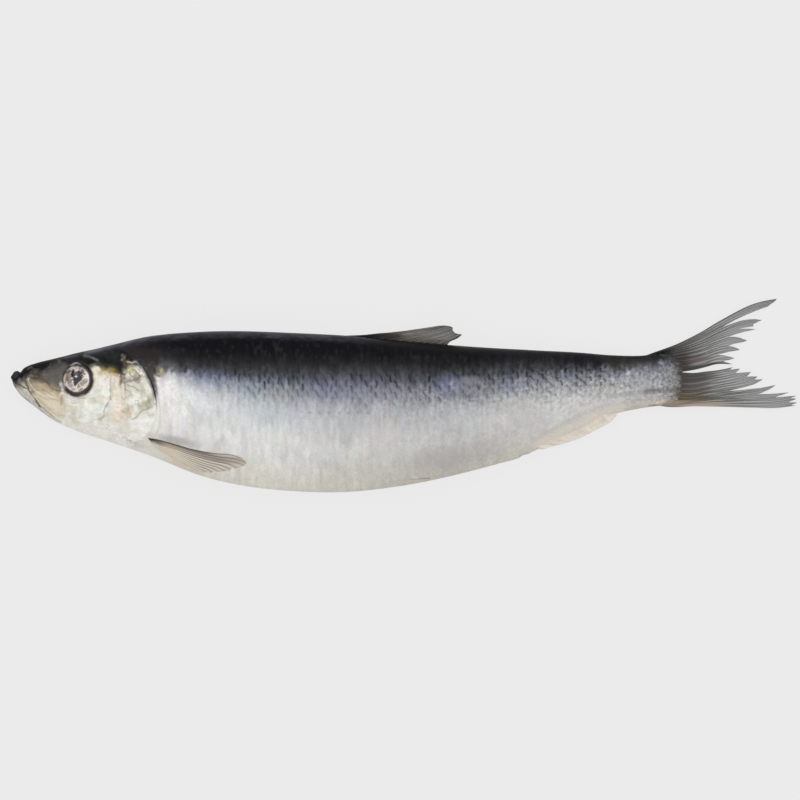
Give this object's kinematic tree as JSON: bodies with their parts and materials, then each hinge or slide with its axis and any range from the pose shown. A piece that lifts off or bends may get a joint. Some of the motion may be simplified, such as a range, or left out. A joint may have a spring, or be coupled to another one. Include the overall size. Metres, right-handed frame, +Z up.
{
  "type": "whole salted herring",
  "caption": "Whole salted Atlantic herring lying on its right side, with a deep keeled body, a pointed head, low folded fins and a forked tail.",
  "frame": {"origin": "centre of the fish's outline on the surface that it lies on", "axes": "+X from the head to the tail, +Y from the belly to the back, +Z up out of the left flank"},
  "size_m": [0.2996, 0.0742, 0.0286],
  "materials": {
    "skin": "wet satin",
    "fins": "satin",
    "eyes": "gloss"
  },
  "bodies": {
    "root": {"herring": "skin"}
  },
  "joints": []
}
